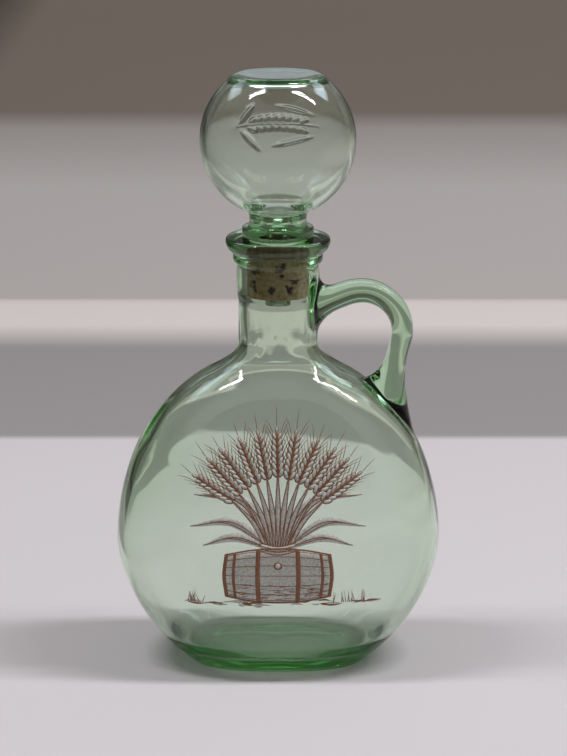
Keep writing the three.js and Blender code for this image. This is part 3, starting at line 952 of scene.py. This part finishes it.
def stopper_profile(stopper, lip_height):
    """Outline of the stopper, down its outside and up its hollow"""
    flange_bottom = lip_height + GAP
    flange_top = flange_bottom + FLANGE_THICKNESS
    hollow_top = stopper.height - HOLLOW_TOP_WALL

    def at(radius, z):
        return Vector((radius, z))

    def on_ball(angle):
        radius = stopper.ball_radius
        return at(radius * math.cos(angle), stopper.ball_centre + radius * math.sin(angle))

    def on_hollow(angle):
        height = stopper.ball_centre + HOLLOW_RISE + HOLLOW_RADIUS * math.sin(angle)
        return at(HOLLOW_RADIUS * math.cos(angle), height)

    def arc(on_circle, first, last):
        steps = round(abs(last - first) / BALL_STEP)
        return [on_circle(a) for a in even(first, last, steps)]

    def chamfer(corner, before, after, size):
        """A rounded corner between two neighbours"""
        start = corner + (before - corner).normalized() * size
        end = corner + (after - corner).normalized() * size
        return bend(start, corner, end, 4) + [end]

    top_edge = at(BALL_TOP_RADIUS, stopper.height)
    neck_foot = at(BALL_NECK_RADIUS, flange_top)
    neck_top = at(BALL_NECK_RADIUS, flange_top + BALL_NECK_HEIGHT)
    flange = [at(FLANGE_RADIUS, flange_top), at(FLANGE_RADIUS, flange_bottom)]
    stem_top = at(STEM_RADIUS, flange_bottom)
    stem_foot = at(STEM_RADIUS, stopper.stem_bottom)
    bore_foot = at(STEM_BORE, stopper.stem_bottom)
    bore_top = at(STEM_BORE, flange_top)
    hollow_foot, hollow_neck, hollow_turn, hollow_corner = (
        at(HOLLOW_NECK_RADIUS, flange_top + rise)
        for rise in (HOLLOW_CORNER / 2, HOLLOW_CORNER * 1.5, HOLLOW_NECK_HEIGHT, HOLLOW_FOOT_TURN)
    )
    hollow_edge = at(HOLLOW_TOP_RADIUS, hollow_top)
    # The straight parts of the stem and its bore keep clear of their rounded ends
    return (
        straight(at(0, stopper.height), top_edge, 10)
        + bend(top_edge, top_edge + at(BALL_TOP_ROUND, 0), on_ball(BALL_SHOULDER_ANGLE), 8)
        + arc(on_ball, BALL_SHOULDER_ANGLE, BALL_FOOT_ANGLE)
        + bend(on_ball(BALL_FOOT_ANGLE), neck_top + at(0, BALL_NECK_ROUND), neck_top)
        + straight(neck_top, neck_foot + at(0, BALL_NECK_FILLET), 4)
        + chamfer(neck_foot, neck_foot + at(0, 1), flange[0], BALL_NECK_FILLET)
        + chamfer(flange[0], neck_foot, flange[1], FLANGE_ROUND)
        + chamfer(flange[1], flange[0], stem_top, FLANGE_ROUND)
        + chamfer(stem_top, flange[1], stem_foot, STEM_TOP_ROUND)
        + straight(stem_top - at(0, 1 * MM), stem_foot + at(0, 2 * MM), 8)
        + chamfer(stem_foot, stem_top, bore_foot, STEM_ROUND)
        + chamfer(bore_foot, stem_foot, bore_top, STEM_ROUND)
        + straight(bore_foot + at(0, 2 * MM), bore_top - at(0, 2 * MM), 8)
        + chamfer(bore_top, bore_foot, hollow_foot, BORE_TOP_ROUND)
        + bend(bore_top.lerp(hollow_foot, 0.75), hollow_foot, hollow_neck)
        + straight(hollow_neck, hollow_turn, 4)
        + bend(hollow_turn, hollow_corner, on_hollow(HOLLOW_FOOT_ANGLE))
        + arc(on_hollow, HOLLOW_FOOT_ANGLE, HOLLOW_SHOULDER_ANGLE)
        + bend(on_hollow(HOLLOW_SHOULDER_ANGLE), at(HOLLOW_TOP_TURN, hollow_top), hollow_edge, 12)
        + straight(hollow_edge, at(0, hollow_top), 8)
        + [at(0, hollow_top)]
    )


def stopper_mesh(stopper, lip_height):
    """The hollow ball with its flange and stem, and the relief on its back"""
    bm = spin_profile(stopper_profile(stopper, lip_height), STOPPER_SEGMENTS)
    add_relief(bm, stopper)
    bmesh.ops.recalc_face_normals(bm, faces=bm.faces)
    return bm


def cork_mesh(stopper):
    """A bored, slightly tapered plug"""
    bore, corner = STEM_RADIUS + GAP, CORK_CORNER
    radius, foot_radius = stopper.cork_radius, stopper.cork_radius - CORK_TAPER
    top, bottom = stopper.cork_top, stopper.cork_bottom
    side_top, side_foot = Vector((radius, top - corner)), Vector((foot_radius, bottom + corner))
    points = [(bore, top), (radius - corner, top)]
    points += straight(side_top, side_foot, CORK_LEVELS) + [side_foot]
    points += [(foot_radius - corner, bottom), (bore, bottom), (bore, top)]
    bm = spin_profile([Vector(p) for p in points], CORK_SEGMENTS)
    add_pits(bm, stopper)
    return bm


def add_pits(bm, stopper):
    """Sinks small dark pits into the cork's side. The layer "pit" tells the shader where"""
    chance = random.Random(5)
    pits = []
    for angle, height, count, spread in PIT_CLUSTERS:
        for _ in range(count):
            along = math.radians(angle) * stopper.cork_radius / MM + chance.gauss(0, spread / 2)
            up = height + chance.gauss(0, spread / 2)
            halves = chance.uniform(0.5, 1.6), chance.uniform(0.3, 0.75)
            pits.append((along, up, *halves, chance.uniform(0, math.pi)))
    layer = bm.verts.layers.float.new("pit")
    side = stopper.cork_radius - CORK_TAPER - CORK_CORNER / 4
    for vert in bm.verts:
        if vert.co.xy.length < side:
            continue
        along = math.atan2(vert.co.y, vert.co.x) * stopper.cork_radius / MM
        depth = oval_level(pits, along, vert.co.z / MM, PIT_EDGE, PIT_REACH)
        vert[layer] = depth
        vert.co.xy *= 1 - depth * PIT_DEPTH / stopper.cork_radius


def add(tree, kind, links=None, **settings):
    """Adds a shader node. A setting is one of its own or the value of an input, and links
    gives what feeds each input: an output, or a node for its first output"""
    node = tree.nodes.new("ShaderNode" + kind)
    for name, value in settings.items():
        if hasattr(node, name):
            setattr(node, name, value)
        else:
            node.inputs[name.replace("_", " ")].default_value = value
    for name, source in (links or {}).items():
        if isinstance(source, bpy.types.Node):
            source = source.outputs[0]
        tree.links.new(source, node.inputs[name])
    return node


def empty_tree(owner):
    """The node tree of a material or of the world, with nothing in it"""
    owner.use_nodes = True
    owner.node_tree.nodes.clear()
    return owner.node_tree


def new_material(name):
    """A material, its empty tree, and the places on a piece that its patterns follow"""
    material = bpy.data.materials.new(name)
    tree = empty_tree(material)
    return material, tree, add(tree, "TexCoord").outputs["Object"]


def green_glass(colours):
    """Pressed soda-lime glass, tinted pale green by iron. Its surface waves a little, and
    thick edges look dark green because light is taken up along its way through the glass."""
    material, tree, place = new_material("green_soda_lime_glass")
    wave = add(tree, "TexNoise", {"Vector": place}, Scale=1 / GLASS_WAVE, Detail=1.0)
    bump = add(tree, "Bump", {"Height": wave}, Strength=1.0, Distance=GLASS_WAVE_HEIGHT)
    film = add(tree, "TexNoise", {"Vector": place}, Scale=1 / GLASS_FILM, Detail=4.0)
    rough = add(
        tree, "MapRange", {"Value": film}, From_Min=0.45, From_Max=0.8, To_Min=0.0, To_Max=0.05
    )
    # The flask's underside is stippled by the mould, so that it is not clear
    height = add(tree, "SeparateXYZ", {"Vector": place}).outputs["Z"]
    low = add(tree, "MapRange", {"Value": height}, From_Min=STIPPLE_TOP, From_Max=STIPPLE_FULL)
    facing = add(tree, "NewGeometry").outputs["True Normal"]
    upwards = add(tree, "SeparateXYZ", {"Vector": facing}).outputs["Z"]
    level = add(tree, "Math", {0: upwards}, operation="ABSOLUTE")
    flat = add(
        tree, "MapRange", {"Value": level}, From_Min=0.85, From_Max=0.95, To_Max=STIPPLE_ROUGHNESS
    )
    stipple = add(tree, "Math", {0: low, 1: flat}, operation="MULTIPLY")
    roughness = add(tree, "Math", {0: rough, 1: stipple}, operation="ADD")
    surface = add(
        tree, "BsdfPrincipled", {"Roughness": roughness, "Normal": bump},
        Base_Color=(1, 1, 1, 1), Transmission_Weight=1.0, IOR=GLASS_IOR,
    )
    depth = add(tree, "VolumeAbsorption", Color=linear(colours.glass), Density=GLASS_DENSITY)
    add(tree, "OutputMaterial", {"Surface": surface, "Volume": depth})
    return material


def natural_cork(colours):
    """Natural cork: matt and mottled, with dark pits in clusters, and darker at its top, just
    under the stopper's flange"""
    material, tree, place = new_material("natural_cork")
    grain = add(tree, "TexNoise", {"Vector": place}, Scale=1 / CORK_GRAIN, Detail=6.0)
    tint = add(tree, "ValToRGB", {"Fac": grain})
    for element, level, name in zip(
        tint.color_ramp.elements, (0.3, 0.62), ("cork_shade", "cork")
    ):
        element.position = level
        element.color = linear(getattr(colours, name))
    pits = add(tree, "Attribute", attribute_name="pit").outputs["Fac"]
    pitted = add(tree, "MixRGB", {"Fac": pits, "Color1": tint}, Color2=linear(colours.cork_pit))
    height = add(tree, "SeparateXYZ", {"Vector": place}).outputs["Z"]
    # The cork turns darker at its top, just under the stopper's flange
    top_share = add(
        tree, "MapRange", {"Value": height}, interpolation_type="SMOOTHSTEP",
        From_Min=TOP_TONE_FOOT, From_Max=TOP_TONE_FULL, To_Max=0.7,
    )
    darkened_top = add(
        tree, "MixRGB", {"Fac": top_share, "Color1": pitted}, blend_type="MULTIPLY",
        Color2=linear(colours.cork_top_tone),
    )
    surface = add(
        tree, "BsdfPrincipled", {"Base Color": darkened_top}, Roughness=0.9, Specular_IOR_Level=0.05
    )
    add(tree, "OutputMaterial", {"Surface": surface})
    return material


def enamel(name, shade):
    """Fired enamel of a screen print: opaque, satin and slightly mottled"""
    material, tree, place = new_material(name)
    mottle = add(tree, "TexNoise", {"Vector": place}, Scale=1 / ENAMEL_MOTTLE, Detail=5.0)
    tint = add(tree, "ValToRGB", {"Fac": mottle})
    for element, level, share in zip(tint.color_ramp.elements, (0.35, 0.6), (0.72, 1.08)):
        element.position = level
        element.color = (*(channel * share for channel in linear(shade)[:3]), 1)
    surface = add(tree, "BsdfPrincipled", {"Base Color": tint}, Roughness=0.5)
    add(tree, "OutputMaterial", {"Surface": surface})
    return material


def pale_floor(colours):
    """A plain matt sheet in a few tones, so that glass seen from any side has a pale shelf
    below it, the shelf's dim back behind it and a grey wall over that. It is dimmer out in
    front, which the upright glass mirrors, and far out on the left, which its left edges
    show, and paler under the flask"""
    material, tree, place = new_material("matt_paper_floor")
    frames = add(
        tree, "Mapping", {"Vector": place},
        Location=(-SHEET_SHIFT, 0, 0), Scale=(SHEET_STRETCH, 1, 1),
    )
    reach = add(tree, "VectorMath", {"Vector": frames}, operation="ABSOLUTE")
    parts = add(tree, "SeparateXYZ", {"Vector": reach})
    distance = add(
        tree, "Math", {0: parts.outputs["X"], 1: parts.outputs["Y"]}, operation="MAXIMUM"
    )
    share = add(tree, "Math", {0: distance}, operation="DIVIDE")
    share.inputs[1].default_value = SHEET_TONES[-1][0]
    tint = add(tree, "ValToRGB", {"Fac": share})
    ramp = tint.color_ramp
    for reached, _ in SHEET_TONES[1:-1]:
        ramp.elements.new(reached / SHEET_TONES[-1][0])
    for element, (_, name) in zip(ramp.elements, SHEET_TONES):
        element.color = linear(getattr(colours, name))
    sides = add(tree, "SeparateXYZ", {"Vector": place})
    away = add(tree, "VectorMath", {"Vector": place}, operation="LENGTH").outputs["Value"]
    levels = [
        add(
            tree, "MapRange", {"Value": output},
            From_Min=start, From_Max=end, To_Min=first, To_Max=last,
        )
        for output, (start, end, first, last) in (
            (away, SHEET_GATHERED),
            (sides.outputs["Y"], SHEET_FRONT),
            (sides.outputs["X"], SHEET_LEFT),
        )
    ]
    level = levels[0]
    for other in levels[1:]:
        level = add(tree, "Math", {0: level, 1: other}, operation="MULTIPLY")
    toned = add(tree, "HueSaturation", {"Color": tint, "Value": level})
    surface = add(
        tree, "BsdfPrincipled", {"Base Color": toned}, Roughness=0.8, Specular_IOR_Level=0.2
    )
    add(tree, "OutputMaterial", {"Surface": surface})
    return material


def soft_room():
    """A plain room without walls to see: bright overhead, dim at the level of the flask, and
    dimmer on its left than on its right"""
    world = bpy.data.worlds.new("soft_room")
    tree = empty_tree(world)
    direction = add(tree, "TexCoord").outputs["Generated"]
    parts = add(tree, "SeparateXYZ", {"Vector": direction})
    height = add(
        tree, "MapRange", {"Value": parts.outputs["Z"]}, interpolation_type="SMOOTHSTEP",
        From_Min=0.0, From_Max=0.8, To_Min=0.12, To_Max=0.26,
    )
    side = add(
        tree, "MapRange", {"Value": parts.outputs["X"]},
        From_Min=-1.0, From_Max=1.0, To_Min=0.65, To_Max=1.3,
    )
    strength = add(tree, "Math", {0: height, 1: side}, operation="MULTIPLY")
    sky = add(tree, "Background", {"Strength": strength}, Color=(*SKY_COLOUR, 1))
    add(tree, "OutputWorld", {"Surface": sky})
    return world


def add_light(name, place, size, target, power):
    """A flat lamp that shines on target"""
    light = bpy.data.lights.new(name, "AREA")
    light.shape = "RECTANGLE"
    light.size, light.size_y = size
    light.energy = power
    holder = bpy.data.objects.new(name, light)
    holder.location = place
    holder.rotation_euler = (Vector(target) - Vector(place)).to_track_quat("-Z", "Y").to_euler()
    bpy.context.scene.collection.objects.link(holder)
    return holder


class FLASK_OT_stage(bpy.types.Operator):
    """Makes the floor, the lights, the sky and the camera"""

    bl_idname = "flask.stage"
    bl_label = "Stage"

    def execute(self, context):
        scene = context.scene
        bm = bmesh.new()
        bmesh.ops.create_circle(bm, cap_ends=True, segments=96, radius=SHEET_RADIUS)
        mesh = bpy.data.meshes.new("floor")
        bm.to_mesh(mesh)
        bm.free()
        mesh.materials.append(pale_floor(scene.flask_colours))
        floor = bpy.data.objects.new("floor", mesh)
        scene.collection.objects.link(floor)

        scene.world = soft_room()
        for name, x, reach, power in LAMPS:
            for tube, y in TUBES:
                place, size = (x, y, LAMP_HEIGHT), (reach, TUBE_WIDTH)
                add_light(f"{name}_{tube}_tube", place, size, (x, y, 0), power)
        for name, place, size, power in PANES:
            pane = add_light(f"{name}_pane", place, size, PANE_TARGET, power)
            pane.data.color = PANE_COLOUR
            pane.visible_diffuse = False  # it shows in the glass and casts no shadow forwards
        scene.cycles.max_bounces = BOUNCES
        scene.cycles.transmission_bounces = BOUNCES
        scene.cycles.glossy_bounces = BOUNCES

        lens = bpy.data.cameras.new("camera")
        lens.sensor_fit = "AUTO"
        lens.sensor_width = 36
        lens.lens = LENS
        camera = bpy.data.objects.new("camera", lens)
        camera.location = CAMERA_PLACE
        camera.rotation_euler = (CAMERA_TILT, 0, 0)
        scene.collection.objects.link(camera)
        scene.camera = camera
        scene.view_settings.view_transform = "Standard"
        return {"FINISHED"}


class FLASK_OT_flask(bpy.types.Operator):
    """Makes the flask with its handle"""

    bl_idname = "flask.flask"
    bl_label = "Flask and Handle"

    def execute(self, context):
        glass = green_glass(context.scene.flask_colours)
        bm = flask_mesh(context.scene.flask_sizes)
        piece = finish_piece("flask_with_handle", bm, glass, "bottle")
        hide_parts("bottle_glass", "handle")
        return {"FINISHED"}


class FLASK_OT_stopper(bpy.types.Operator):
    """Makes the ball stopper"""

    bl_idname = "flask.stopper"
    bl_label = "Ball Stopper"

    def execute(self, context):
        scene = context.scene
        glass = bpy.data.materials["green_soda_lime_glass"]
        bm = stopper_mesh(scene.stopper_sizes, scene.flask_sizes.lip_height)
        piece = finish_piece("ball_stopper", bm, glass, "stopper")
        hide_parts("stopper_glass")
        return {"FINISHED"}


class FLASK_OT_cork(bpy.types.Operator):
    """Makes the cork sleeve"""

    bl_idname = "flask.cork"
    bl_label = "Cork Sleeve"

    def execute(self, context):
        cork = natural_cork(context.scene.flask_colours)
        bm = cork_mesh(context.scene.stopper_sizes)
        piece = finish_piece("cork_plug", bm, cork, "stopper")
        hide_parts("cork_sleeve")
        return {"FINISHED"}


class FLASK_OT_print(bpy.types.Operator):
    """Makes the sheaf and the cask that are printed on the front"""

    bl_idname = "flask.print"
    bl_label = "Sheaf and Cask Print"

    def execute(self, context):
        scene = context.scene
        chance = random.Random(8)
        grey, brown = bmesh.new(), bmesh.new()
        draw_sheaf(grey, brown, chance)
        draw_cask(grey, brown, chance)
        draw_ground(grey, brown, chance)
        for name, bm in (("grey", grey), ("brown", brown)):
            slot = f"{name}_enamel"
            drape(bm, scene.flask_sizes)
            material = enamel(slot, getattr(scene.flask_colours, slot))
            finish_piece(f"sheaf_print_{name}", bm, material, "bottle")
        return {"FINISHED"}


class FLASK_PT_parts(bpy.types.Panel):
    """Lists the parts of the flask and their sizes"""

    bl_label = "Flask"
    bl_space_type = "VIEW_3D"
    bl_region_type = "UI"
    bl_category = "Flask"

    def draw(self, context):
        scene = context.scene
        for operator in OPERATORS:
            self.layout.operator(operator.bl_idname)
        for name, kind in GROUPS.items():
            for setting in kind.__annotations__:
                self.layout.prop(getattr(scene, name), setting)


GROUPS = {
    "flask_sizes": FlaskSizes, "stopper_sizes": StopperSizes, "flask_colours": FinishColours
}
OPERATORS = (FLASK_OT_stage, FLASK_OT_flask, FLASK_OT_stopper, FLASK_OT_cork, FLASK_OT_print)


def register():
    for item in (*GROUPS.values(), *OPERATORS, FLASK_PT_parts):
        bpy.utils.register_class(item)
    for name, kind in GROUPS.items():
        setattr(bpy.types.Scene, name, bpy.props.PointerProperty(type=kind))


def unregister():
    for name in GROUPS:
        delattr(bpy.types.Scene, name)
    for item in (*GROUPS.values(), *OPERATORS, FLASK_PT_parts):
        bpy.utils.unregister_class(item)


def main():
    register()
    bpy.ops.flask.stage()
    bpy.ops.flask.flask()
    bpy.ops.flask.stopper()
    bpy.ops.flask.cork()
    bpy.ops.flask.print()


if __name__ == "__main__":
    main()
